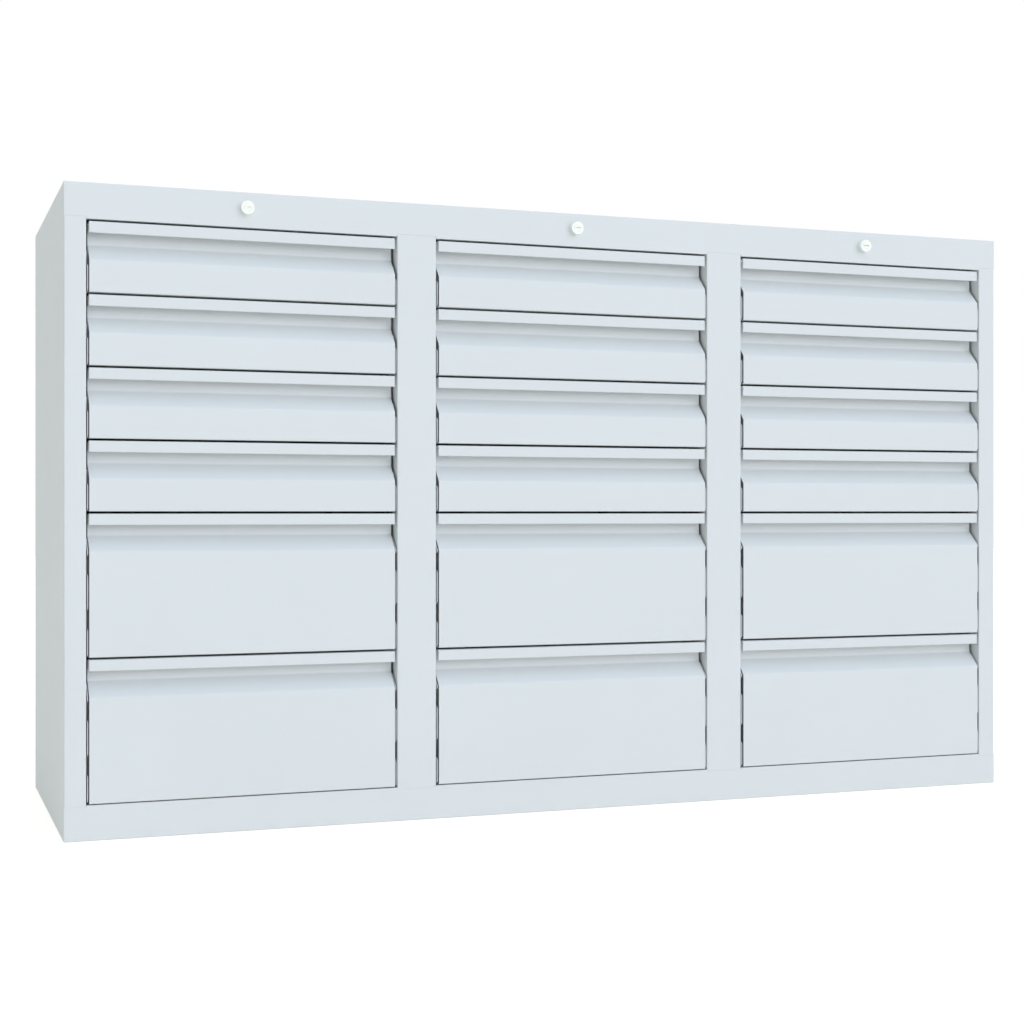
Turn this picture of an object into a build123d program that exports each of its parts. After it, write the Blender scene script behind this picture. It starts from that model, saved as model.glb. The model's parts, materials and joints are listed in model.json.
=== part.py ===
from build123d import *
import os
from math import pi, radians, sin

os.makedirs("parts", exist_ok=True)

# A steel cabinet of three columns of drawers. All sizes are in millimetres.
# +Z is up, the drawers open towards -Y, and the origin is on the floor, at the middle of the whole
# object's box, which the lock heads lengthen a little at the front.

# Whole cabinet
WIDTH = 1500.0
DEPTH = 500.0
HEIGHT = 900.0
COLUMNS = ("left", "middle", "right")
DRAWER_PITCHES = (100.0, 100.0, 100.0, 100.0, 200.0, 200.0)

# Sheets and folds. A fold's radius is measured at the middle of the sheet's thickness.
CASE_SHEET = 1.5
BACK_SHEET = 1.0
FRONT_SHEET = 1.2
BOX_SHEET = 1.0
CASE_FOLD = 0.8
GRIP_FOLD = 4.0
SHARP = 0.0

# Front frame: stiles beside the drawers, rails above and below them
OUTER_STILE = 29.5
TOP_RAIL = 49.6
BOTTOM_RAIL = 48.8
SEAM_BELOW_TOP = 46.5
SEAM_ABOVE_FLOOR = 47.0
SEAM_GAP = 0.12
JAMB_DEPTH = 30.0
JAMB_LIP = 11.0
RAIL_LIP = 12.0
INNER_FLANGE = 25.0
BACK_FLANGE = 22.0
CORNER_GAP = 1.5
LOCK_HOLE_RADIUS = 8.2
LOCK_FLAT_SHARE = 0.84

# Drawer fronts
FRONT_WIDTH = 433.0
DRAWER_GAP = 3.0
LIP_HEIGHT = 15.8
HEM_LENGTH = 8.0
HEM_SPACING = 1.6
GRIP_DEPTH = 20.5
GRIP_CORNER_DROP = 30.5
GRIP_END_DROP = 53.0
FACE_PROUD = 1.5

# Drawer boxes
RUNNER_SPACE = 13.0
FLOOR_LIFT = 8.0
RIM_DROP = 14.0
RIM_FLANGE = 8.0
GUARD_CLEARANCE = 1.5
GUARD_TIP = 0.5
GUARD_ROOT = 14.0
GUARD_CHAMFER = 3.0
GUARD_SLOPE_SETBACK = 2.2
WALL_NECK = 0.8
SHALLOW_FINGERS = ((59.0, 96.0),)
DEEP_FINGERS = ((83.0, 132.0), (158.0, 195.5))
DEEP_NOSE_START = 34.0
DEEP_NOSE_END = 58.0
BOX_LENGTH = 430.0
CATCH_REACH = 24.0
CATCH_DROP = 16.0

# Runners and the posts that carry them
RUNNER_SHEET = 1.2
RUNNER_LENGTH = 440.0
RUNNER_START = 27.5
RAIL_RISE = 30.0
RAIL_HEIGHT = 29.4
RAIL_REACH = 10.5
RUNNER_REACH = 11.0
RUNNER_PLAY = 0.3
POST_WIDTH = 40.0
POST_FOOT = 12.0
POST_STARTS = (45.0, 395.0)
POST_END_GAP = 28.5

# Locks and the hook bars that they lift
LOCK_DROP = 22.5
LOCK_PROUD = 10.0
LOCK_HEAD_RADIUS = 9.6
LOCK_BEVEL = 0.8
LOCK_SHANK_RADIUS = 8.0
LOCK_SHANK_LENGTH = 22.0
LOCK_NUT_RADIUS = 12.0
LOCK_NUT_THICKNESS = 4.0
NUT_PLAY = 0.05
PLUG_RADIUS = 5.75
PLUG_PLAY = 0.05
KEY_SLOT_WIDTH = 8.6
KEY_SLOT_HEIGHT = 1.5
KEY_SLOT_DEPTH = 9.0
ROD_SIDE = 6.0
CRANK_RADIUS = 10.0
CRANK_WIDTH = 12.0
CRANK_THICKNESS = 3.0
CRANK_TO_BACK = 14.5
CRANK_PIN_RADIUS = 2.5
CRANK_PIN_LENGTH = 7.5
CRANK_START_ANGLE = 45.0
BAR_WIDTH = 40.0
BAR_THICKNESS = 2.0
BAR_TO_BACK = 7.5
BAR_BOTTOM = 180.0
BAR_ABOVE_PIN = 8.0
BAR_SLOT_LENGTH = 11.0
BAR_SLOT_HEIGHT = 6.0
HOOK_THICKNESS = 3.0
HOOK_PLAY = 1.5
HOOK_RISE = 15.0
HOOK_ARM = 8.0
HOOK_TIP = 5.0
HOOK_TO_LIP = 1.5
CLIP_HEIGHT = 15.0
CLIP_SHEET = 1.2
CLIP_SIDE_PLAY = 1.0
CLIP_FRONT_PLAY = 1.5
CLIP_FOOT = 10.0
CLIP_RISES = (300.0, 758.0)
BEARING_TO_BACK = 20.0
BEARING_HALF_WIDTH = 32.0
BEARING_HEIGHT = 20.0
BEARING_NOTCH = 9.0

# Places worked out from the sizes above
FRONT_Y = LOCK_PROUD - (DEPTH + LOCK_PROUD) / 2
BACK_Y = FRONT_Y + DEPTH
COLUMN_PITCH = WIDTH / len(COLUMNS)
OPENING = COLUMN_PITCH - 2 * OUTER_STILE
SIDE_INSIDE = WIDTH / 2 - CASE_SHEET
LINER_Y = BACK_Y - CASE_SHEET
BACK_INSIDE = LINER_Y - BACK_SHEET
WALL_DEPTH = GRIP_DEPTH + FRONT_SHEET
BOX_START = FRONT_Y + WALL_DEPTH
BOX_END = BOX_START + BOX_LENGTH
BOX_HALF = OPENING / 2 - RUNNER_SPACE
LOCK_Z = HEIGHT - LOCK_DROP
CRANK_RISE = CRANK_RADIUS * sin(radians(CRANK_START_ANGLE))
BAR_TRAVEL = 2 * CRANK_RISE


def column_centre(index):
    """Middle of a column of drawers, counted from the left."""
    return (index - (len(COLUMNS) - 1) / 2) * COLUMN_PITCH


def drawer_tops():
    """Top edge and height of each drawer front in a column, from the top one down."""
    edge = HEIGHT - TOP_RAIL - DRAWER_GAP
    places = []
    for pitch in DRAWER_PITCHES:
        places.append((edge, pitch - DRAWER_GAP))
        edge -= pitch
    return places


def folded_sheet(plane, points, thickness, length, folds=None):
    """Sheet bent along a line of points that runs at the middle of its thickness. The folds are one
    radius for each corner; a sheet with none has its folds left sharp."""
    line = FilletPolyline(*points, radius=folds) if folds else Polyline(*points)
    return extrude(plane * trace(line, thickness), length)


def across(x):
    """Plane seen from the right: a sketch's axes are Y and Z, and it grows towards +X."""
    return Plane(origin=(x, 0, 0), x_dir=(0, 1, 0), z_dir=(1, 0, 0))


def along(y):
    """Plane seen from behind: a sketch's axes are -X and Z, and it grows towards +Y."""
    return Plane(origin=(0, y, 0), x_dir=(-1, 0, 0), z_dir=(0, 1, 0))


def level(z):
    """Plane seen from above: a sketch's axes are X and Y, and it grows upwards."""
    return Plane.XY.offset(z)


def block(low, high):
    """Plain block between two corners."""
    size = [h - l for l, h in zip(low, high)]
    return Pos(*low) * Box(*size, align=(Align.MIN, Align.MIN, Align.MIN))


def save(name, shape):
    export_step(shape, f"parts/{name}.step")


def side_panel():
    """Left side: a sheet that folds round the front edge into a stile, a jamb and a stiffening lip."""
    middle = CASE_SHEET / 2
    outer = -WIDTH / 2
    jamb = outer + OUTER_STILE
    stile_plan = [
        (outer + middle, FRONT_Y + DEPTH / 2),
        (outer + middle, FRONT_Y + middle),
        (jamb - middle, FRONT_Y + middle),
        (jamb - middle, FRONT_Y + JAMB_DEPTH - middle),
        (jamb - JAMB_LIP, FRONT_Y + JAMB_DEPTH - middle),
    ]
    stile_top = HEIGHT - SEAM_BELOW_TOP - SEAM_GAP
    stile_height = stile_top - SEAM_ABOVE_FLOOR
    folds = [CASE_FOLD, CASE_FOLD, SHARP]
    stile = folded_sheet(level(SEAM_ABOVE_FLOOR), stile_plan, CASE_SHEET, stile_height, folds)
    back_plan = [
        (outer + middle, FRONT_Y + DEPTH / 2),
        (outer + middle, BACK_Y - middle),
        (outer + BACK_FLANGE, BACK_Y - middle),
    ]
    corner = INNER_FLANGE + CORNER_GAP
    back = folded_sheet(level(corner), back_plan, CASE_SHEET, HEIGHT - 2 * corner)
    panel = stile + back
    half = FRONT_Y + DEPTH / 2
    for low, high in ((0, SEAM_ABOVE_FLOOR), (stile_top, HEIGHT)):
        panel += block((outer, FRONT_Y, low), (outer + CASE_SHEET, half, high))
    for low, high in ((0, corner), (HEIGHT - corner, HEIGHT)):
        panel += block((outer, half, low), (outer + CASE_SHEET, BACK_Y, high))
    return panel


def divider():
    """Wall between two columns: a wide stile folded into a channel, and a flanged web behind it."""
    middle = CASE_SHEET / 2
    half = OUTER_STILE - middle
    lip_y = FRONT_Y + JAMB_DEPTH - middle
    stile_plan = [
        (-half + JAMB_LIP, lip_y),
        (-half, lip_y),
        (-half, FRONT_Y + middle),
        (half, FRONT_Y + middle),
        (half, lip_y),
        (half - JAMB_LIP, lip_y),
    ]
    stile_top = HEIGHT - SEAM_BELOW_TOP - SEAM_GAP
    stile_height = stile_top - SEAM_ABOVE_FLOOR
    folds = [SHARP, CASE_FOLD, CASE_FOLD, SHARP]
    stile = folded_sheet(level(SEAM_ABOVE_FLOOR), stile_plan, CASE_SHEET, stile_height, folds)
    floor, ceiling = 3 * middle, HEIGHT - 3 * middle
    web_start = FRONT_Y + CASE_SHEET
    web_section = [
        (BACK_FLANGE, floor),
        (0, floor),
        (0, ceiling),
        (BACK_FLANGE, ceiling),
    ]
    web = folded_sheet(along(web_start), web_section, CASE_SHEET, BACK_INSIDE - web_start)
    for low, high in ((0, SEAM_ABOVE_FLOOR), (stile_top, HEIGHT)):
        web -= block((-BACK_FLANGE, FRONT_Y, low), (BACK_FLANGE, FRONT_Y + JAMB_DEPTH, high))
    return stile + web


def flatted_round(radius):
    """Circle with a flat above and below, which keeps a lock from turning in its hole."""
    return Circle(radius) & Rectangle(2 * radius, 2 * radius * LOCK_FLAT_SHARE)


def rail_panel(rail, seam):
    """Bottom of the case: front rail, flat floor and back flange from one sheet, with end flanges.
    Between the stiles the rail is higher and ends in a lip; at the stiles it stops at the seam."""
    middle = CASE_SHEET / 2
    half = SIDE_INSIDE - SEAM_GAP / 2
    section = [
        (FRONT_Y + RAIL_LIP, rail - middle),
        (FRONT_Y + middle, rail - middle),
        (FRONT_Y + middle, middle),
        (BACK_Y - middle, middle),
        (BACK_Y - middle, INNER_FLANGE),
    ]
    folds = [SHARP, CASE_FOLD, SHARP]
    panel = folded_sheet(across(-half), section, CASE_SHEET, 2 * half, folds)
    stile_edges = [-WIDTH / 2, -WIDTH / 2 + OUTER_STILE]
    for index in range(1, len(COLUMNS)):
        join = index * COLUMN_PITCH - WIDTH / 2
        stile_edges += [join - OUTER_STILE, join + OUTER_STILE]
    stile_edges += [WIDTH / 2 - OUTER_STILE, WIDTH / 2]
    for left, right in zip(stile_edges[::2], stile_edges[1::2]):
        panel -= block((left, FRONT_Y, seam), (right, FRONT_Y + JAMB_DEPTH, rail))
    for side in (-1, 1):
        inner, outer = sorted((side * (half - CASE_SHEET), side * half))
        panel += block(
            (inner, FRONT_Y + JAMB_DEPTH, CASE_SHEET / 2),
            (outer, LINER_Y - CASE_SHEET, INNER_FLANGE),
        )
    return panel


def bottom_panel():
    return rail_panel(BOTTOM_RAIL, SEAM_ABOVE_FLOOR - SEAM_GAP)


def top_panel():
    """The same folded sheet turned over, with a hole in its rail for each lock."""
    panel = rail_panel(TOP_RAIL, SEAM_BELOW_TOP)
    panel = Pos(0, 0, HEIGHT) * panel.mirror(Plane.XY)
    for index in range(len(COLUMNS)):
        hole = extrude(flatted_round(LOCK_HOLE_RADIUS), 2 * CASE_SHEET, both=True)
        panel -= facing_front(column_centre(index), FRONT_Y) * hole
    return panel


def back_panel():
    """Flat sheet behind the columns, held in front of the flanges of the sides, top and bottom."""
    margin = 2 * CASE_SHEET + SEAM_GAP
    half = WIDTH / 2 - margin
    low = (-half, BACK_INSIDE, margin)
    return block(low, (half, LINER_Y, HEIGHT - margin))


def post(wall, face, start):
    """Upright channel from a wall of the case to the plane that the runners are fixed to."""
    way = 1 if face > wall else -1
    foot = wall + way * CASE_SHEET / 2
    crown = face - way * CASE_SHEET / 2
    end = start + POST_WIDTH
    plan = [
        (crown, start + POST_FOOT),
        (crown, start),
        (foot, start),
        (foot, end),
        (crown, end),
        (crown, end - POST_FOOT),
    ]
    return folded_sheet(level(POST_END_GAP), plan, CASE_SHEET, HEIGHT - 2 * POST_END_GAP)


def runner_posts():
    """Two posts on each side of every column."""
    posts = []
    for index in range(len(COLUMNS)):
        centre = column_centre(index)
        for side in (-1, 1):
            at_case = abs(centre + side * COLUMN_PITCH / 2) > WIDTH / 2 - 1
            wall_sheet = CASE_SHEET if at_case else CASE_SHEET / 2
            wall = centre + side * (COLUMN_PITCH / 2 - wall_sheet)
            face = centre + side * OPENING / 2
            posts += [post(wall, face, FRONT_Y + start) for start in POST_STARTS]
    return Compound(posts)


def channel(web, mouth, centre_z, height, start, length):
    """Runner channel with its web at one X and its open side at another."""
    way = 1 if mouth > web else -1
    web_middle = web + way * RUNNER_SHEET / 2
    half = height / 2 - RUNNER_SHEET / 2
    section = [
        (-mouth, centre_z + half),
        (-web_middle, centre_z + half),
        (-web_middle, centre_z - half),
        (-mouth, centre_z - half),
    ]
    return folded_sheet(along(start), section, RUNNER_SHEET, length)


def runner_height(top, height):
    """Height of the middle of a drawer's runners."""
    return top - height + FLOOR_LIFT + RAIL_RISE


def cabinet_runners(centre):
    """The fixed channels of a column, one on each side of every drawer."""
    outer_height = RAIL_HEIGHT + 2 * (RUNNER_PLAY + RUNNER_SHEET)
    runners = []
    for top, height in drawer_tops():
        for side in (-1, 1):
            web = centre + side * OPENING / 2
            mouth = web - side * RUNNER_REACH
            z = runner_height(top, height)
            start = FRONT_Y + RUNNER_START
            runners.append(channel(web, mouth, z, outer_height, start, RUNNER_LENGTH))
    return Compound(runners)


def drawer_front(centre, top, height):
    """Front from one sheet: hemmed lip, hollow for the fingers, flat face and bottom return. The lip
    lies flush with the stiles, and the face stands a little in front of it."""
    middle = FRONT_SHEET / 2
    face = middle - FACE_PROUD
    profile = [
        (middle + HEM_SPACING, LIP_HEIGHT - HEM_LENGTH),
        (middle + HEM_SPACING, LIP_HEIGHT - middle),
        (middle, LIP_HEIGHT - middle),
        (middle, middle),
        (GRIP_DEPTH + middle, middle),
        (GRIP_DEPTH + middle, GRIP_CORNER_DROP),
        (face, GRIP_END_DROP),
        (face, height - middle),
        (GRIP_DEPTH, height - middle),
    ]
    folds = [SHARP, SHARP, SHARP, SHARP, GRIP_FOLD, GRIP_FOLD, SHARP]
    points = [(FRONT_Y + depth, top - drop) for depth, drop in profile]
    plane = across(centre - FRONT_WIDTH / 2)
    return folded_sheet(plane, points, FRONT_SHEET, FRONT_WIDTH, folds)


def guard_outline(height):
    """Edge of the fingers that close the slot beside a front, as depth behind the stiles and drop
    below the front's top edge. A deep drawer has one more finger, which follows the hollow."""
    deep = height > max(DRAWER_PITCHES) - 2 * DRAWER_GAP
    slope = GRIP_DEPTH / (GRIP_END_DROP - GRIP_CORNER_DROP)

    def behind_slope(drop):
        return (GRIP_END_DROP - drop) * slope + GUARD_SLOPE_SETBACK

    if deep:
        outline = [
            (WALL_DEPTH, DEEP_NOSE_START),
            (behind_slope(DEEP_NOSE_START), DEEP_NOSE_START),
            (GUARD_TIP, GRIP_END_DROP),
            (GUARD_TIP, DEEP_NOSE_END - GUARD_CHAMFER),
            (GUARD_TIP + GUARD_CHAMFER, DEEP_NOSE_END),
            (GUARD_ROOT, DEEP_NOSE_END),
        ]
    else:
        root_start = GRIP_END_DROP - (GUARD_ROOT - GUARD_SLOPE_SETBACK) / slope
        outline = [(WALL_DEPTH, root_start), (GUARD_ROOT, root_start)]
    for first, last in DEEP_FINGERS if deep else SHALLOW_FINGERS:
        outline += [
            (GUARD_ROOT, first),
            (GUARD_TIP + GUARD_CHAMFER, first),
            (GUARD_TIP, first + GUARD_CHAMFER),
            (GUARD_TIP, last - GUARD_CHAMFER),
            (GUARD_TIP + GUARD_CHAMFER, last),
            (GUARD_ROOT, last),
        ]
    outline.append((WALL_DEPTH, outline[-1][1]))
    return outline


def front_wall(centre, top, height):
    """Front wall of a drawer box. Beside the hollow it is as wide as the front, and below that it is
    wider, with its two edges folded forwards into fingers."""
    half = OPENING / 2 - GUARD_CLEARANCE
    neck = FRONT_WIDTH / 2 + WALL_NECK
    outline = guard_outline(height)
    points = [(FRONT_Y + depth, top - drop) for depth, drop in outline]
    guard = Polygon(*points, align=None)
    bottom, shoulder = top - outline[-1][1], top - outline[0][1]
    back = BOX_START + BOX_SHEET
    wall = block((centre - neck, BOX_START, bottom), (centre + neck, back, top - RIM_DROP))
    wall += block((centre - half, BOX_START, bottom), (centre + half, back, shoulder))
    for edge in (centre - half, centre + half - BOX_SHEET):
        wall += extrude(across(edge) * guard, BOX_SHEET)
    return wall


def drawer_box(centre, top, height):
    """Tray with turned-out rims, front wall, back wall folded into a catch, and a rail each side."""
    middle = BOX_SHEET / 2
    floor = top - height + FLOOR_LIFT + middle
    rim = top - RIM_DROP - middle
    wall = BOX_HALF - middle
    section = [
        (-centre - wall - RIM_FLANGE, rim),
        (-centre - wall, rim),
        (-centre - wall, floor),
        (-centre + wall, floor),
        (-centre + wall, rim),
        (-centre + wall + RIM_FLANGE, rim),
    ]
    tray_start = BOX_START + BOX_SHEET
    tray_length = BOX_END - BOX_SHEET - tray_start
    box = folded_sheet(along(tray_start), section, BOX_SHEET, tray_length)
    back_section = [
        (BOX_END - middle, floor - middle),
        (BOX_END - middle, rim),
        (BOX_END + CATCH_REACH + middle, rim),
        (BOX_END + CATCH_REACH + middle, rim + middle - CATCH_DROP),
    ]
    box += folded_sheet(across(centre - BOX_HALF), back_section, BOX_SHEET, 2 * BOX_HALF)
    box += front_wall(centre, top, height)
    for side in (-1, 1):
        mouth = centre + side * BOX_HALF
        web = mouth + side * RAIL_REACH
        z = runner_height(top, height)
        box += channel(web, mouth, z, RAIL_HEIGHT, tray_start, tray_length)
    return box


def facing_front(centre, y):
    """Place of a round piece whose own +Z axis points out of the front of the cabinet."""
    return Pos(centre, y, LOCK_Z) * Rot(90, 0, 0)


def lock_barrel(centre):
    """Fixed cylinder of a lock: bevelled head on the rail, and a flatted shank through it."""
    bore = PLUG_RADIUS + PLUG_PLAY
    head = Cylinder(LOCK_HEAD_RADIUS, LOCK_PROUD, align=(Align.CENTER, Align.CENTER, Align.MIN))
    head = chamfer(head.edges().group_by(Axis.Z)[-1], LOCK_BEVEL)
    shank = extrude(flatted_round(LOCK_SHANK_RADIUS), -LOCK_SHANK_LENGTH)
    barrel = head + shank - Cylinder(bore, 2 * (LOCK_SHANK_LENGTH + LOCK_PROUD))
    return facing_front(centre, FRONT_Y) * barrel


def lock_nut(centre):
    """Six-sided nut that draws a lock's head against the front of the rail."""
    outline = RegularPolygon(LOCK_NUT_RADIUS, 6) - flatted_round(LOCK_SHANK_RADIUS + NUT_PLAY)
    return facing_front(centre, FRONT_Y + CASE_SHEET) * extrude(outline, -LOCK_NUT_THICKNESS)


def lock_plug(centre):
    """Turning plug of a lock, with the key slot lying level when the drawers are free."""
    length = LOCK_PROUD + LOCK_SHANK_LENGTH
    plug = Cylinder(PLUG_RADIUS, length, align=(Align.CENTER, Align.CENTER, Align.MAX))
    plug -= Box(KEY_SLOT_WIDTH, KEY_SLOT_HEIGHT, 2 * KEY_SLOT_DEPTH)
    return facing_front(centre, FRONT_Y - LOCK_PROUD) * plug


def lock_rod(centre):
    """Square rod from a lock to the back of the case, ending in a crank and its pin."""
    start = FRONT_Y + LOCK_SHANK_LENGTH
    crank_y = BACK_Y - CRANK_TO_BACK
    half = ROD_SIDE / 2
    rod = block((centre - half, start, LOCK_Z - half), (centre + half, crank_y, LOCK_Z + half))
    crank = Pos(-CRANK_RADIUS / 2, 0) * Rectangle(CRANK_RADIUS + CRANK_WIDTH, CRANK_WIDTH)
    crank = extrude(crank, CRANK_THICKNESS)
    pin = Cylinder(
        CRANK_PIN_RADIUS, CRANK_PIN_LENGTH, align=(Align.CENTER, Align.CENTER, Align.MIN)
    )
    crank += Pos(-CRANK_RADIUS, 0, CRANK_THICKNESS) * pin
    crank = Rot(0, 0, -CRANK_START_ANGLE) * crank
    return rod + Pos(centre, crank_y, LOCK_Z) * Rot(-90, 0, 0) * crank


def hook(top):
    """Outline of a hook that a drawer's catch drops over: an arm forwards and a tip upwards."""
    bar_y = BACK_Y - BAR_TO_BACK
    lip_bottom = top - RIM_DROP - CATCH_DROP
    tip_back = BOX_END + CATCH_REACH - HOOK_TO_LIP
    tip_top = lip_bottom - HOOK_PLAY
    arm_top = tip_top - HOOK_RISE
    points = [
        (bar_y, arm_top),
        (tip_back, arm_top),
        (tip_back, tip_top),
        (tip_back - HOOK_TIP, tip_top),
        (tip_back - HOOK_TIP, arm_top),
        (tip_back, arm_top - HOOK_ARM),
        (bar_y, arm_top - HOOK_ARM),
    ]
    return Polygon(*points, align=None)


def hook_bar(centre):
    """Flat bar that slides up the back, with a hook for each drawer and a slot for the crank pin."""
    pin_z = LOCK_Z - CRANK_RISE
    bar_y = BACK_Y - BAR_TO_BACK
    half = BAR_WIDTH / 2
    bar = block(
        (centre - half, bar_y, BAR_BOTTOM), (centre + half, bar_y + BAR_THICKNESS, pin_z + BAR_ABOVE_PIN)
    )
    pin_middle = -(CRANK_RADIUS + CRANK_RISE) / 2
    slot = extrude(Rectangle(BAR_SLOT_LENGTH, BAR_SLOT_HEIGHT), BAR_THICKNESS)
    bar -= Pos(centre + pin_middle, bar_y, pin_z) * Rot(-90, 0, 0) * slot
    for top, _height in drawer_tops():
        bar += extrude(across(centre - HOOK_THICKNESS / 2) * hook(top), HOOK_THICKNESS)
    return bar


def bridge(centre, half, front, z, height):
    """Strap fixed to the back panel by its two feet, standing clear of what runs under it."""
    middle = CLIP_SHEET / 2
    foot_y = BACK_INSIDE - middle
    plan = [
        (centre - half - CLIP_FOOT, foot_y),
        (centre - half, foot_y),
        (centre - half, front + middle),
        (centre + half, front + middle),
        (centre + half, foot_y),
        (centre + half + CLIP_FOOT, foot_y),
    ]
    return folded_sheet(level(z), plan, CLIP_SHEET, height)


def lock_brackets():
    """In each column two straps that guide the hook bar and one that holds the end of the rod."""
    strap_half = BAR_WIDTH / 2 + CLIP_SIDE_PLAY + CLIP_SHEET / 2
    strap_front = BACK_Y - BAR_TO_BACK - CLIP_FRONT_PLAY - CLIP_SHEET
    bearing_front = BACK_Y - BEARING_TO_BACK - CLIP_SHEET
    brackets = []
    for index in range(len(COLUMNS)):
        centre = column_centre(index)
        for rise in CLIP_RISES:
            brackets.append(bridge(centre, strap_half, strap_front, rise, CLIP_HEIGHT))
        low = LOCK_Z - BEARING_HEIGHT / 2
        bearing = bridge(centre, BEARING_HALF_WIDTH, bearing_front, low, BEARING_HEIGHT)
        notch_low = (centre - BEARING_NOTCH / 2, bearing_front, LOCK_Z - BEARING_NOTCH / 2)
        notch_high = (centre + BEARING_NOTCH / 2, bearing_front + CLIP_SHEET, LOCK_Z + BEARING_HEIGHT)
        brackets.append(bearing - block(notch_low, notch_high))
    return Compound(brackets)


def save_case():
    left = side_panel()
    save("side_left", left)
    save("side_right", left.mirror(Plane.YZ))
    wall = divider()
    save("divider_left", Pos(-COLUMN_PITCH / 2, 0, 0) * wall)
    save("divider_right", Pos(COLUMN_PITCH / 2, 0, 0) * wall)
    save("bottom_panel", bottom_panel())
    save("top_panel", top_panel())
    save("back_panel", back_panel())
    save("runner_posts", runner_posts())
    save("lock_brackets", lock_brackets())
    centres = [column_centre(index) for index in range(len(COLUMNS))]
    save("lock_barrels", Compound([lock_barrel(centre) for centre in centres]))
    save("lock_nuts", Compound([lock_nut(centre) for centre in centres]))


def save_column(index, column):
    centre = column_centre(index)
    save(f"cabinet_runners_{column}", cabinet_runners(centre))
    save(f"lock_plug_{column}", lock_plug(centre))
    save(f"lock_rod_{column}", lock_rod(centre))
    save(f"lock_bar_{column}", hook_bar(centre))
    for number, (top, height) in enumerate(drawer_tops(), start=1):
        save(f"drawer_front_{column}_{number}", drawer_front(centre, top, height))
        save(f"drawer_box_{column}_{number}", drawer_box(centre, top, height))


save_case()
for column_index, column_name in enumerate(COLUMNS):
    save_column(column_index, column_name)
print("hook bar travel", round(BAR_TRAVEL, 3), "mm for a quarter turn of the lock")
print("travel per radian", round(BAR_TRAVEL / (pi / 2), 4), "mm")
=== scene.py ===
# %% [markdown]
# # A steel drawer cabinet
# The cabinet is sheet steel all through: three columns of drawers behind fronts that are each folded from
# one sheet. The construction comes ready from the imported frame, at its real size. This file gives it
# what plain solids leave out: bend radii and broken edges, turned lock heads, powder coat, zinc plate
# and chrome. Then it sets up a camera, a light and a floor.

# %% Load the frame
import json
from math import pi, radians, tan

import bmesh
import bpy
from mathutils import Matrix, Vector


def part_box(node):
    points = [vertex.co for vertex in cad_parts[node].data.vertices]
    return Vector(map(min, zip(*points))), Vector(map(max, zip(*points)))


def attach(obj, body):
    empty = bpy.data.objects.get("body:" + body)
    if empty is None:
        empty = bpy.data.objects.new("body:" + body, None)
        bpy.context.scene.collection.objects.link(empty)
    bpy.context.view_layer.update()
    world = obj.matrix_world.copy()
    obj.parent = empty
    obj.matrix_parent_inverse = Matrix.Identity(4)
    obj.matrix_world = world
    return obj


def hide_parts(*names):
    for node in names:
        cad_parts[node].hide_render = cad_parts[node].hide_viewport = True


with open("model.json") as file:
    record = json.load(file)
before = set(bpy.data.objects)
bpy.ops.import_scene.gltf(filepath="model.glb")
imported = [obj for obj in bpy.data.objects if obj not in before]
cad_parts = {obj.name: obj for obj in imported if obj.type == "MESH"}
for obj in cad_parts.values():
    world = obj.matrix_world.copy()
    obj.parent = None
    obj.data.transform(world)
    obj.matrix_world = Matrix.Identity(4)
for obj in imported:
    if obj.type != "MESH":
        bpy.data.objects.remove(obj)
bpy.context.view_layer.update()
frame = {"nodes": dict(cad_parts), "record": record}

# %% [markdown]
# ## Places that everything else is measured from
# The frame gives the lowest and highest corner of each part. The front of the stiles is the plane that
# depths are measured from. The lips of the drawers are flush with it, the faces below the lips
# stand a little in front of it, and the lock heads stand further out.

# %% Front plane and columns
MM = 0.001
COLUMNS = ("left", "middle", "right")
DRAWERS = range(1, 7)
case_low, case_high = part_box("side_left")
front_y = case_low.y
print("front plane at y =", round(front_y, 4), "and cabinet height", round(case_high.z, 3))

# %% [markdown]
# ## Camera
# The photograph was taken from the left, level with the middle of the cabinet, with a lens that is
# a little long. The upright edges stay parallel in it, so the camera is level and only turned to the
# right. The numbers came from matching the ends of the stiles and rails to the photograph.

# %% Level camera, turned a little to the right
SENSOR_WIDTH, LENS = 36, 59.49
CAMERA_X = -964.88 * MM
CAMERA_FROM_FRONT = 2368.37 * MM
CAMERA_HEIGHT = 449.58 * MM
CAMERA_TURN = radians(20.014)

camera_data = bpy.data.cameras.new("camera")
camera_data.sensor_width = SENSOR_WIDTH
camera_data.lens = LENS
camera = bpy.data.objects.new("camera", camera_data)
bpy.context.scene.collection.objects.link(camera)
camera.location = (CAMERA_X, front_y - CAMERA_FROM_FRONT, CAMERA_HEIGHT)
camera.rotation_euler = (radians(90), 0, -CAMERA_TURN)
bpy.context.scene.camera = camera
bpy.context.scene.view_settings.view_transform = "Standard"
print("camera stands", round(CAMERA_FROM_FRONT, 2), "m in front of the cabinet")

# %% [markdown]
# ## Small helpers for node materials
# A material is a chain of nodes that ends in a shader. These helpers keep each chain to a few lines: one
# adds a node and sets its values, one joins two sockets, one makes a noise and one starts a material.
# Two more squeeze a noise into a narrow range of values or of shades, so that a finish changes only a
# little from place to place.


# %% Node helpers
def add_node(tree, kind, **values):
    node = tree.nodes.new(kind)
    for name, value in values.items():
        if name in node.inputs:
            node.inputs[name].default_value = value
        else:
            setattr(node, name, value)
    return node


def join(tree, source, socket, target, name):
    tree.links.new(source.outputs[socket], target.inputs[name])


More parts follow.
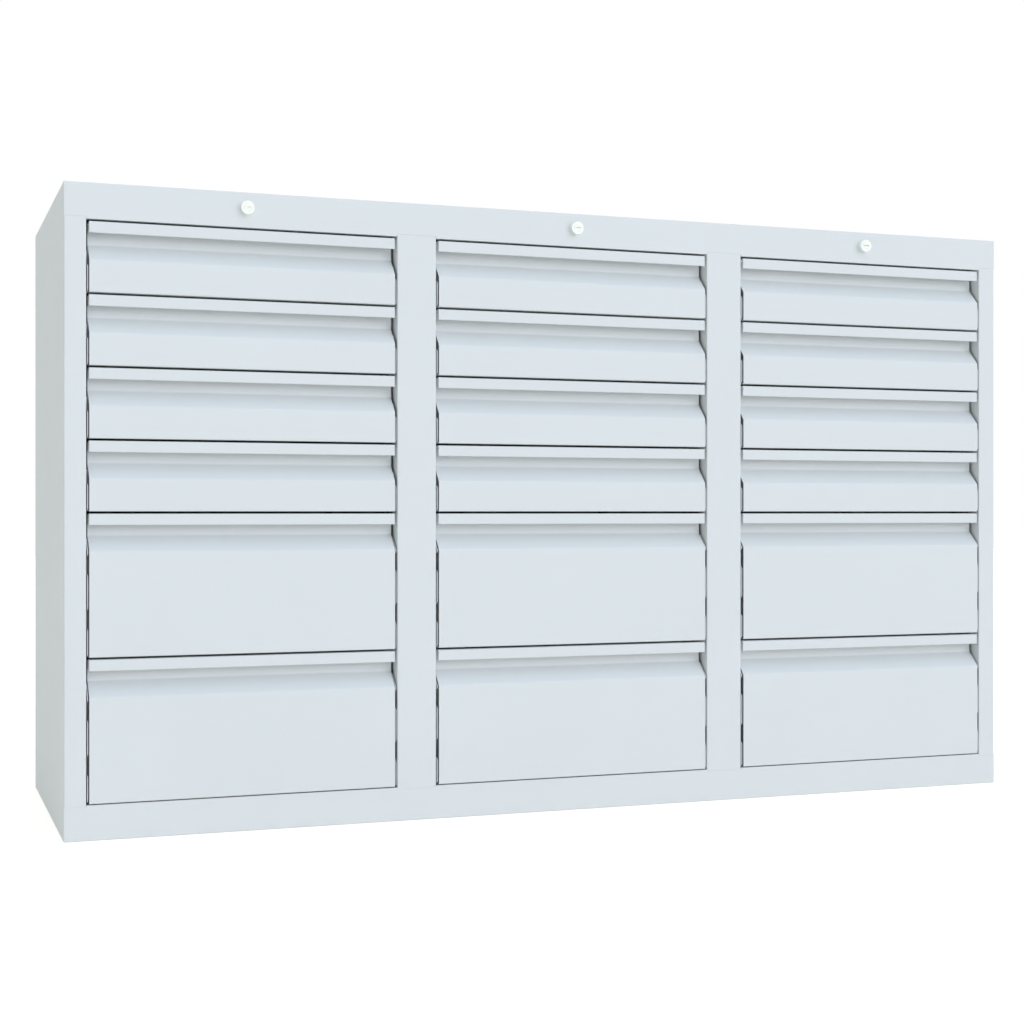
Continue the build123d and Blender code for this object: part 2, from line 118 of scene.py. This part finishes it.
def noise(tree, scale, detail, stretch=(1, 1, 1)):
    """Noise on the piece's own coordinates, which are metres: a grain of 1 mm has a scale of 1000."""
    where = add_node(tree, "ShaderNodeTexCoord")
    placed = add_node(tree, "ShaderNodeMapping", Scale=stretch)
    grain = add_node(tree, "ShaderNodeTexNoise", Scale=scale, Detail=detail)
    join(tree, where, "Object", placed, "Vector")
    join(tree, placed, "Vector", grain, "Vector")
    return grain


def new_material(name):
    material = bpy.data.materials.new(name)
    material.use_nodes = True
    return material, material.node_tree, material.node_tree.nodes["Principled BSDF"]


# %% Two ways to keep a noise within bounds
NOISE_LOW, NOISE_HIGH = 0.3, 0.7


def squeeze(tree, grain, low, high):
    fitted = add_node(tree, "ShaderNodeMapRange")
    fitted.inputs["From Min"].default_value = NOISE_LOW
    fitted.inputs["From Max"].default_value = NOISE_HIGH
    fitted.inputs["To Min"].default_value = low
    fitted.inputs["To Max"].default_value = high
    join(tree, grain, "Fac", fitted, "Value")
    return fitted


def tint(tree, grain, colour, spread):
    """Colour that drifts a little either side of one shade."""
    ramp = add_node(tree, "ShaderNodeValToRGB")
    low, high = ramp.color_ramp.elements
    low.position, high.position = NOISE_LOW, NOISE_HIGH
    low.color = [c * (1 - spread) for c in colour] + [1]
    high.color = [c * (1 + spread) for c in colour] + [1]
    join(tree, grain, "Fac", ramp, "Fac")
    return ramp


# %% [markdown]
# ## Powder coat
# Powder is sprayed on dry and melts into a skin. It is even in colour, but it isn't flat: the skin has a
# low, slow ripple called orange peel, a few millimetres long, with a finer grain on it. Both go into
# the bump. The colour drifts by less than a percent either way, and the roughness by about a tenth.
# The drawer boxes get the same coat a shade deeper, because less powder reaches the inside of a tray.

# %% Powder coat
# Each noise is given by its scale and its detail
SHADE_NOISE, GLOSS_NOISE = (6, 3), (45, 4)
PEEL_NOISE, GRAIN_NOISE = (260, 1), (1400, 2)
SHADE_DRIFT, ROUGHNESS_DRIFT = 0.008, 0.05
PEEL_STRENGTH, PEEL_HEIGHT = 0.12, 0.15 * MM
GRAIN_STRENGTH, GRAIN_HEIGHT = 0.06, 0.05 * MM
PAINT_SHINE = 0.3


def powder_coat(name, colour, roughness):
    material, tree, shader = new_material(name)
    shade = tint(tree, noise(tree, *SHADE_NOISE), colour, SHADE_DRIFT)
    join(tree, shade, "Color", shader, "Base Color")
    low, high = roughness - ROUGHNESS_DRIFT, roughness + ROUGHNESS_DRIFT
    gloss = squeeze(tree, noise(tree, *GLOSS_NOISE), low, high)
    join(tree, gloss, "Result", shader, "Roughness")
    ripple = add_node(tree, "ShaderNodeBump", Strength=PEEL_STRENGTH, Distance=PEEL_HEIGHT)
    join(tree, noise(tree, *PEEL_NOISE), "Fac", ripple, "Height")
    grain = add_node(tree, "ShaderNodeBump", Strength=GRAIN_STRENGTH, Distance=GRAIN_HEIGHT)
    join(tree, noise(tree, *GRAIN_NOISE), "Fac", grain, "Height")
    join(tree, ripple, "Normal", grain, "Normal")
    join(tree, grain, "Normal", shader, "Normal")
    shader.inputs["Specular IOR Level"].default_value = PAINT_SHINE
    return material


# %% Coats of the case, the fronts and the boxes
LIGHT_GREY, LIGHT_ROUGHNESS = (0.735, 0.765, 0.77), 0.55
BOX_GREY, BOX_ROUGHNESS = (0.70, 0.73, 0.735), 0.6
finishes = {
    "case_paint": powder_coat("case_paint", LIGHT_GREY, LIGHT_ROUGHNESS),
    "front_paint": powder_coat("front_paint", LIGHT_GREY, LIGHT_ROUGHNESS),
    "box_paint": powder_coat("box_paint", BOX_GREY, BOX_ROUGHNESS),
}
print("powder coats:", *finishes)

# %% [markdown]
# ## Zinc plate
# The runners, posts, bars and rods hardly show when the cabinet is shut, so they stay in bright zinc
# plate. The steel is rolled before it is plated, which leaves faint lines. A noise that is stretched
# from front to back makes them, the way the runners lie. The plating itself is a little cloudy.

# %% Zinc plate
ZINC_GREY, ZINC_ROUGHNESS = (0.62, 0.63, 0.64), (0.34, 0.5)
CLOUD_NOISE, CLOUD_DRIFT = (35, 4), 0.06
DULL_NOISE = (90, 4)
ROLLED_NOISE, ROLLED_STRETCH = (900, 2), (1, 0.03, 1)
ROLLED_STRENGTH, ROLLED_HEIGHT = 0.15, 0.05 * MM


def zinc_plate(name):
    material, tree, shader = new_material(name)
    shader.inputs["Metallic"].default_value = 1.0
    cloud = tint(tree, noise(tree, *CLOUD_NOISE), ZINC_GREY, CLOUD_DRIFT)
    join(tree, cloud, "Color", shader, "Base Color")
    dull = squeeze(tree, noise(tree, *DULL_NOISE), *ZINC_ROUGHNESS)
    join(tree, dull, "Result", shader, "Roughness")
    rolled = add_node(tree, "ShaderNodeBump", Strength=ROLLED_STRENGTH, Distance=ROLLED_HEIGHT)
    lines = noise(tree, *ROLLED_NOISE, stretch=ROLLED_STRETCH)
    join(tree, lines, "Fac", rolled, "Height")
    join(tree, rolled, "Normal", shader, "Normal")
    return material


finishes["zinc_steel"] = zinc_plate("zinc_steel")
print("zinc plate of roughness", ZINC_ROUGHNESS)

# %% [markdown]
# ## Lock chrome
# The lock heads are die-cast, polished and plated. In a white room they look almost white, and what
# shows of the key slot has the colour that the plating takes on after several reflections. That is
# why the plating's own shade leans a little to green.

# %% Lock chrome
CHROME, CHROME_ROUGHNESS = (0.95, 0.995, 0.965), (0.12, 0.22)
PLATING_NOISE, PLATING_DRIFT = (300, 2), 0.005
POLISH_NOISE = (700, 3)


def lock_plating(name):
    material, tree, shader = new_material(name)
    shader.inputs["Metallic"].default_value = 1.0
    shade = tint(tree, noise(tree, *PLATING_NOISE), CHROME, PLATING_DRIFT)
    join(tree, shade, "Color", shader, "Base Color")
    polish = squeeze(tree, noise(tree, *POLISH_NOISE), *CHROME_ROUGHNESS)
    join(tree, polish, "Result", shader, "Roughness")
    return material


finishes["lock_chrome"] = lock_plating("lock_chrome")
print("finishes:", *finishes)

# %% [markdown]
# ## Turning a shape into a piece of the cabinet
# A finished shape becomes an object that stands for one of the frame's parts and moves with the same body.
# Its small bends are shaded smooth, but a broad flat face must stay flat. Weighted normals see to
# that: at each corner the biggest face decides the direction.

# %% Shape to piece
SHARP_ANGLE = radians(40)


def body_of_node(node):
    for body, members in frame["record"]["behaviour"]["bodies"].items():
        if node in members:
            return body


def finish_piece(shape, name, finish, node):
    mesh = bpy.data.meshes.new(name)
    for face in shape.faces:
        face.smooth = True
    for edge in shape.edges:
        edge.smooth = not edge.is_manifold or edge.calc_face_angle() < SHARP_ANGLE
    shape.to_mesh(mesh)
    shape.free()
    mesh.materials.append(finishes[finish])
    piece = bpy.data.objects.new(name, mesh)
    bpy.context.scene.collection.objects.link(piece)
    flat = piece.modifiers.new("flat_faces", "WEIGHTED_NORMAL")
    flat.keep_sharp = True
    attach(piece, body_of_node(node))
    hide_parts(node)
    return piece


# %% [markdown]
# ## Bend radii and broken edges
# A press brake folds sheet round a radius, and the cut edges are rubbed down before painting. A bevel
# makes both, so each part's edges have to be sorted first. A fold is long and joins two broad faces,
# while a cut edge has the narrow face of the sheet's thickness on one side. So how far the narrower
# face reaches from a long edge tells the two apart.

# %% Which edges are folds
BROAD, LONG = 5 * MM, 20 * MM


def breadth(edge):
    """How far the narrower of an edge's faces reaches from it."""
    return min(face.calc_area() / edge.calc_length() for face in edge.link_faces)


def is_case_fold(edge):
    return edge.is_convex and edge.calc_length() > LONG and breadth(edge) > BROAD


# %% Which cut edges are seams
SAME_PLACE = 0.002 * MM


def is_seam(edge):
    """A long and level cut edge in the front plane, as where a stile stops at a rail."""
    first, second = (vert.co for vert in edge.verts)
    in_front = max(abs(first.y - front_y), abs(second.y - front_y)) < SAME_PLACE
    level = abs(first.z - second.z) < SAME_PLACE
    return in_front and level and edge.calc_length() > LONG and breadth(edge) < BROAD


# %% Sharp edges and their bevel
def sharp_edges(shape, chosen):
    return [
        edge
        for edge in shape.edges
        if edge.is_manifold and edge.calc_face_angle() > SHARP_ANGLE and chosen(edge)
    ]


def bevel(shape, edges, width, segments, clamp=True):
    bmesh.ops.bevel(
        shape, geom=edges, offset=width, offset_type="OFFSET", affect="EDGES",
        segments=segments, profile=0.5, material=-1, clamp_overlap=clamp,
    )


# %% Softened copy of a sheet part
NEAR_PLACE = 0.1 * MM
SAME_PLANE = radians(0.5)
SEAM_EDGE, CUT_SEGMENTS = 0.25 * MM, 2


def softened(node, name, finish, is_fold, fold, segments):
    """The frame's mesh is loose triangles, so a copy is joined into whole faces before it is bevelled."""
    shape = bmesh.new()
    shape.from_mesh(frame["nodes"][node].data)
    bmesh.ops.remove_doubles(shape, verts=shape.verts[:], dist=NEAR_PLACE)
    bmesh.ops.dissolve_limit(shape, angle_limit=SAME_PLANE, verts=shape.verts[:], edges=shape.edges[:])
    bevel(shape, sharp_edges(shape, is_fold), fold, segments)
    bevel(shape, sharp_edges(shape, is_seam), SEAM_EDGE, CUT_SEGMENTS)
    bmesh.ops.dissolve_degenerate(shape, dist=SAME_PLACE, edges=shape.edges[:])
    return finish_piece(shape, name, finish, node)


# %% [markdown]
# ## Case
# The sides, dividers, top and bottom are folded sheets. The corners of their stiles already have their
# bend radius in the frame, because those corners draw the crisp lines beside the drawers. The
# other outside folds get theirs here. The cut edges where the stiles stop at the rails are broken too,
# and beside the top rail each of them shows as a faint line.

# %% Case panels
CASE_PANELS = ("side_left", "side_right", "divider_left", "divider_right", "top_panel", "bottom_panel")
FOLD_OUTSIDE, FOLD_SEGMENTS = 1.5 * MM, 5

for panel in CASE_PANELS:
    piece = softened(panel, panel + "_sheet", "case_paint", is_case_fold, FOLD_OUTSIDE, FOLD_SEGMENTS)
    print(piece.name, len(piece.data.polygons), "faces")

# %% [markdown]
# ## Drawer fronts
# A front is one sheet. It starts behind the lip, in the hem, and then turns under and up the lip, back
# over the top, down the back of the hollow, forwards along the slope, down the face and back again
# below. It could be a solid block with a groove, but then every wall would have to be cut to one
# thickness. Here the middle of the sheet is drawn as a row of corners and drawn out sideways,
# its folds are rounded while it is still thin, and then it gets one thickness everywhere. Its cut
# edges are broken last.

# %% Sizes of a front, in millimetres behind the stiles and below its top edge
SHEET = 1.2
HEM_LENGTH, HEM_SPACING, LIP_HEIGHT = 8.0, 1.6, 15.8
GRIP_DEPTH, GRIP_CORNER, GRIP_END = 20.5, 30.5, 53.0
FACE_PROUD = 1.5
HEM_BEND, CRISP_BEND, GRIP_BEND = 0.75, 1.2, 4.0


def front_line(height):
    """Depth, drop and bend radius of each corner of the sheet's middle line."""
    lip, face, back = SHEET / 2, SHEET / 2 - FACE_PROUD, GRIP_DEPTH + SHEET / 2
    hem = lip + HEM_SPACING
    return [
        (hem, LIP_HEIGHT - HEM_LENGTH, 0),
        (hem, LIP_HEIGHT - lip, HEM_BEND),
        (lip, LIP_HEIGHT - lip, HEM_BEND),
        (lip, lip, CRISP_BEND),
        (back, lip, CRISP_BEND),
        (back, GRIP_CORNER, GRIP_BEND),
        (face, GRIP_END, GRIP_BEND),
        (face, height - SHEET / 2, CRISP_BEND),
        (GRIP_DEPTH, height - SHEET / 2, 0),
    ]


# %% Draw out, bend, thicken
BEND_SEGMENTS = 6


def drawn_out(corners, length):
    """Open surface from a row of corners, and its inner folds in the same order."""
    shape = bmesh.new()
    row = [shape.verts.new(corner) for corner in corners]
    line = [shape.edges.new(pair) for pair in zip(row, row[1:])]
    grown = bmesh.ops.extrude_edge_only(shape, edges=line)["geom"]
    far = [item for item in grown if isinstance(item, bmesh.types.BMVert)]
    bmesh.ops.translate(shape, verts=far, vec=(length, 0, 0))
    shape.normal_update()
    folds = [
        next(edge for edge in corner.link_edges if len(edge.link_faces) == 2)
        for corner in row[1:-1]
    ]
    return shape, folds


def bend(shape, folds, radii):
    """Rounds the folds, all those of one radius at once. They also turn by the same angle."""
    for radius in set(radii):
        alike = [fold for fold, own in zip(folds, radii) if own == radius]
        reach = radius * MM * tan(alike[0].calc_face_angle() / 2)
        bevel(shape, alike, reach, BEND_SEGMENTS)
        shape.normal_update()


def thicken(shape, thickness):
    """Moves the surface to one skin of the sheet and grows the sheet from there."""
    for vert in shape.verts:
        vert.co += vert.normal * vert.calc_shell_factor() * thickness / 2
    bmesh.ops.solidify(shape, geom=shape.faces[:], thickness=thickness)
    bmesh.ops.recalc_face_normals(shape, faces=shape.faces[:])


# %% Make the fronts
CUT_EDGE = 0.12 * MM
CUT_BREADTH = 2 * SHEET * MM


def drawer_front(column, number):
    node = f"drawer_front_{column}_{number}"
    low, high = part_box(node)
    line = front_line((high.z - low.z) / MM)
    corners = [(low.x, front_y + depth * MM, high.z - drop * MM) for depth, drop, radius in line]
    shape, folds = drawn_out(corners, high.x - low.x)
    bend(shape, folds, [radius for depth, drop, radius in line[1:-1]])
    thicken(shape, SHEET * MM)
    rim = sharp_edges(shape, lambda edge: breadth(edge) < CUT_BREADTH)
    bevel(shape, rim, CUT_EDGE, CUT_SEGMENTS, clamp=False)
    return finish_piece(shape, f"front_{column}_{number}", "front_paint", node)


for column in COLUMNS:
    made = [drawer_front(column, number) for number in DRAWERS]
    print("fronts", column, [len(piece.data.polygons) for piece in made], "faces")

# %% [markdown]
# ## Drawer boxes
# The boxes are trays with a turned-out rim, a wide front wall and a rail on each side. Behind a shut
# front, only the ends of the front wall show, so the folds of the boxes are made small and plain.

# %% Drawer boxes
BOX_FOLD, BOX_FOLD_SEGMENTS = 0.9 * MM, 3
BOX_BROAD = 3.2 * MM


def is_box_fold(edge):
    return edge.is_convex and breadth(edge) > BOX_BROAD


def drawer_box(column, number):
    node, name = f"drawer_box_{column}_{number}", f"box_{column}_{number}"
    return softened(node, name, "box_paint", is_box_fold, BOX_FOLD, BOX_FOLD_SEGMENTS)


for column in COLUMNS:
    made = [drawer_box(column, number) for number in DRAWERS]
    print("boxes", column, [len(piece.data.polygons) for piece in made], "faces")

# %% [markdown]
# ## Lock heads
# A lock's head is turned, so its section is drawn once and spun round the lock's axis. The rim is rounded
# and the mouth of the bore is chamfered. The shank behind the rail is a tube with a flat above and
# below. Two planes could slice the flats, but they would cut the head as well, so the corners of
# the tube's wall that reach too high or too low are brought in to the flats instead. All three
# barrels are one part of the frame, so they go into one shape.

# %% Lock sizes in millimetres
LOCK_PROUD = 10.0
HEAD_RADIUS, SHANK_RADIUS, BORE_RADIUS, PLUG_RADIUS = 9.6, 8.0, 5.8, 5.75
SHANK_LENGTH, FLAT_SHARE = 22.0, 0.84
RIM_ROUND, BORE_CHAMFER, PLUG_CHAMFER = 0.8, 0.4, 0.3
RIM_STEPS, TURN_STEPS = 4, 72
FORWARD = Vector((0, -1, 0))


def lock_centre(column):
    """The point where a lock's axis meets the front plane."""
    low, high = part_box(f"lock_plug_{column}")
    return Vector(((low.x + high.x) / 2, front_y, (low.z + high.z) / 2))


def turned(shape, section, centre, closed=True):
    """Spins a section of (radius, distance forwards) corners round a lock's axis."""
    ring = [
        shape.verts.new(centre + Vector((radius * MM, 0, 0)) + FORWARD * ahead * MM)
        for radius, ahead in section
    ]
    ends = zip(ring, ring[1:] + ring[:1]) if closed else zip(ring, ring[1:])
    edges = [shape.edges.new(pair) for pair in ends]
    bmesh.ops.spin(
        shape, geom=ring + edges, cent=centre, axis=FORWARD, dvec=(0, 0, 0),
        angle=2 * pi, steps=TURN_STEPS, use_merge=True, use_duplicate=False,
    )


# %% Barrels
def rim_corners():
    """Quarter round from the side of the head to its face."""
    corner = Vector((HEAD_RADIUS - RIM_ROUND, LOCK_PROUD - RIM_ROUND))
    steps = [Matrix.Rotation(pi / 2 * step / RIM_STEPS, 2) for step in range(RIM_STEPS + 1)]
    return [corner + turn @ Vector((RIM_ROUND, 0)) for turn in steps]


def barrel_section():
    return [
        (BORE_RADIUS, -SHANK_LENGTH),
        (SHANK_RADIUS, -SHANK_LENGTH),
        (SHANK_RADIUS, 0),
        (HEAD_RADIUS, 0),
        *rim_corners(),
        (BORE_RADIUS + BORE_CHAMFER, LOCK_PROUD),
        (BORE_RADIUS, LOCK_PROUD - BORE_CHAMFER),
    ]


def bring_in_flats(shape, centre):
    """Brings the shank's wall in to the flats above and below."""
    reach = FLAT_SHARE * SHANK_RADIUS * MM
    for vert in shape.verts:
        out = vert.co - centre
        behind = out.y > -SAME_PLACE and Vector((out.x, out.z)).length < SHANK_RADIUS * MM + SAME_PLACE
        if behind:
            vert.co.z = centre.z + max(-reach, min(reach, out.z))


barrels = bmesh.new()
for column in COLUMNS:
    turned(barrels, barrel_section(), lock_centre(column))
    bring_in_flats(barrels, lock_centre(column))
bmesh.ops.remove_doubles(barrels, verts=barrels.verts[:], dist=SAME_PLACE)
bmesh.ops.recalc_face_normals(barrels, faces=barrels.faces[:])
piece = finish_piece(barrels, "lock_heads", "lock_chrome", "lock_barrels")
print("lock heads:", len(piece.data.polygons), "faces")

# %% [markdown]
# ## Lock plugs
# A plug turns in its barrel, so each plug is a piece of its own. It is a rod with a chamfered end. The
# key slot could be cut out with a boolean, but four planes do it more cleanly: they divide the end
# face, and the small face that is left in the middle is pushed in.

# %% Key slot
SLOT_WIDTH, SLOT_HEIGHT, SLOT_DEPTH = 8.6, 1.5, 9.0
# Cosine of the angle between a face's normal and the lock's axis, above which it is an end face
END_FACE = 0.999


def push_slot(shape, centre):
    """Divides the plug's end face along the slot's four sides and pushes the middle in."""
    end = centre + FORWARD * LOCK_PROUD * MM
    sides = [(Vector((1, 0, 0)), SLOT_WIDTH), (Vector((0, 0, 1)), SLOT_HEIGHT)]
    for direction, size in sides:
        for way in (-1, 1):
            flat = [face for face in shape.faces if face.normal.dot(FORWARD) > END_FACE]
            around = {item for face in flat for item in (*face.verts, *face.edges)}
            bmesh.ops.bisect_plane(
                shape, geom=[*around, *flat], plane_co=end + direction * way * size * MM / 2,
                plane_no=direction,
            )
    shape.normal_update()
    slot = min(shape.faces, key=lambda face: (face.calc_center_median() - end).length)
    grown = bmesh.ops.extrude_face_region(shape, geom=[slot])["geom"]
    floor = [item for item in grown if isinstance(item, bmesh.types.BMVert)]
    bmesh.ops.translate(shape, verts=floor, vec=-FORWARD * SLOT_DEPTH * MM)
    bmesh.ops.delete(shape, geom=[slot], context="FACES_ONLY")


# %% Plugs
def plug_section():
    return [
        (0, -SHANK_LENGTH),
        (PLUG_RADIUS, -SHANK_LENGTH),
        (PLUG_RADIUS, LOCK_PROUD - PLUG_CHAMFER),
        (PLUG_RADIUS - PLUG_CHAMFER, LOCK_PROUD),
        (0, LOCK_PROUD),
    ]


def lock_plug(column):
    centre = lock_centre(column)
    shape = bmesh.new()
    turned(shape, plug_section(), centre, closed=False)
    bmesh.ops.remove_doubles(shape, verts=shape.verts[:], dist=SAME_PLACE)
    bmesh.ops.recalc_face_normals(shape, faces=shape.faces[:])
    ends = [face for face in shape.faces if abs(face.normal.dot(FORWARD)) > END_FACE]
    bmesh.ops.dissolve_faces(shape, faces=ends)
    push_slot(shape, centre)
    bmesh.ops.recalc_face_normals(shape, faces=shape.faces[:])
    return finish_piece(shape, f"plug_{column}", "lock_chrome", f"lock_plug_{column}")


for column in COLUMNS:
    print(lock_plug(column).name, "made")

# %% [markdown]
# ## Parts that keep their own shape
# The back, the posts, the runners and the lock work are right as the frame gives them. They only take
# the finish that the record names for them.

# %% Finishes of the frame's own parts
for part in frame["record"]["subparts"]:
    node = frame["nodes"][part["node"]]
    if not node.hide_render:
        node.material_slots[0].material = finishes[part["material_slot"]]
        print(part["node"], "has", part["material_slot"])

# %% [markdown]
# ## Floor
# The floor is one large pale sheet. It has to look white and still keep the cabinet's shadow. A floor that
# is lit until it is white would throw too much light back onto the cabinet, so the floor stays
# pale and only what the camera sees of it is lifted by a little light of its own.

# %% Floor sheet
FLOOR_SIZE = 30

floor_shape = bmesh.new()
bmesh.ops.create_grid(floor_shape, x_segments=1, y_segments=1, size=FLOOR_SIZE / 2)
floor_mesh = bpy.data.meshes.new("floor")
floor_shape.to_mesh(floor_mesh)
floor_shape.free()
floor = bpy.data.objects.new("floor", floor_mesh)
bpy.context.scene.collection.objects.link(floor)
print("floor", FLOOR_SIZE, "m wide")


# %% What the camera sees, straight, in metal or through anything clear
def seen_directly(tree):
    """1 for what the camera sees, also as a reflection, and 0 for the light on the object."""
    path = add_node(tree, "ShaderNodeLightPath")
    two = add_node(tree, "ShaderNodeMath", operation="MAXIMUM")
    join(tree, path, "Is Camera Ray", two, 0)
    join(tree, path, "Is Glossy Ray", two, 1)
    three = add_node(tree, "ShaderNodeMath", operation="MAXIMUM")
    join(tree, two, "Value", three, 0)
    join(tree, path, "Is Transmission Ray", three, 1)
    return three


# %% Floor material
FLOOR_TONE, FLOOR_ROUGHNESS = (0.95, 0.885, 0.79), 0.9
FLOOR_NOISE, FLOOR_DRIFT = (3, 2), 0.01
FLOOR_LIFT = 0.42

floor_material, tree, shader = new_material("pale_floor")
tone = tint(tree, noise(tree, *FLOOR_NOISE), FLOOR_TONE, FLOOR_DRIFT)
join(tree, tone, "Color", shader, "Base Color")
shader.inputs["Roughness"].default_value = FLOOR_ROUGHNESS
shader.inputs["Specular IOR Level"].default_value = 0.0
lift = add_node(tree, "ShaderNodeMath", operation="MULTIPLY")
join(tree, seen_directly(tree), "Value", lift, 0)
lift.inputs[1].default_value = FLOOR_LIFT
join(tree, lift, "Value", shader, "Emission Strength")
shader.inputs["Emission Color"].default_value = (1, 1, 1, 1)
floor_mesh.materials.append(floor_material)
print("floor lifted by", FLOOR_LIFT)

# %% [markdown]
# ## Light
# Pale paint shows where its light comes from. The photograph's slopes are cool, the undersides of the lips
# are warm, and the case's side is a good deal darker than the fronts. So the room's light is
# cool overhead and fades towards the horizon, the floor sends warm light back up, and one wide
# soft lamp, low in front and to the right, lights the fronts and reaches into the hollows. The
# camera sees plain white in place of the room.

# %% Light of the room
OVERHEAD = (0.94, 1.08, 1.26)
HORIZON = (0.32, 0.27, 0.17)

world = bpy.data.worlds.new("studio")
bpy.context.scene.world = world
world.use_nodes = True
tree = world.node_tree
tree.nodes.clear()
where = add_node(tree, "ShaderNodeTexCoord")
parts = add_node(tree, "ShaderNodeSeparateXYZ")
join(tree, where, "Generated", parts, "Vector")
fade = add_node(tree, "ShaderNodeValToRGB")
fade.color_ramp.elements[0].color = [*HORIZON, 1]
fade.color_ramp.elements[1].color = [*OVERHEAD, 1]
join(tree, parts, "Z", fade, "Fac")
print("light from", HORIZON, "at the horizon to", OVERHEAD, "overhead")

# %% White for the camera
room = add_node(tree, "ShaderNodeBackground", Strength=1.0)
white = add_node(tree, "ShaderNodeBackground", Strength=1.0, Color=(1, 1, 1, 1))
pick = add_node(tree, "ShaderNodeMixShader")
out = add_node(tree, "ShaderNodeOutputWorld")
join(tree, fade, "Color", room, "Color")
join(tree, seen_directly(tree), "Value", pick, 0)
join(tree, room, "Background", pick, 1)
join(tree, white, "Background", pick, 2)
join(tree, pick, "Shader", out, "Surface")
print("nodes in the room's light:", len(tree.nodes))

# %% Soft lamp, low in front and to the right
LAMP_FROM = Vector((0.45, -1.0, 0.14))
LAMP_WIDTH = radians(55)
LAMP_ENERGY = 1.6
LAMP_COLOUR = (0.905, 0.975, 1.12)

lamp_data = bpy.data.lights.new("soft_lamp", "SUN")
lamp_data.energy = LAMP_ENERGY
lamp_data.angle = LAMP_WIDTH
lamp_data.color = LAMP_COLOUR
lamp = bpy.data.objects.new("soft_lamp", lamp_data)
bpy.context.scene.collection.objects.link(lamp)
lamp.rotation_euler = LAMP_FROM.to_track_quat("Z", "Y").to_euler()
lamp.visible_glossy = False
print("lamp of", LAMP_ENERGY, "from", tuple(LAMP_FROM))
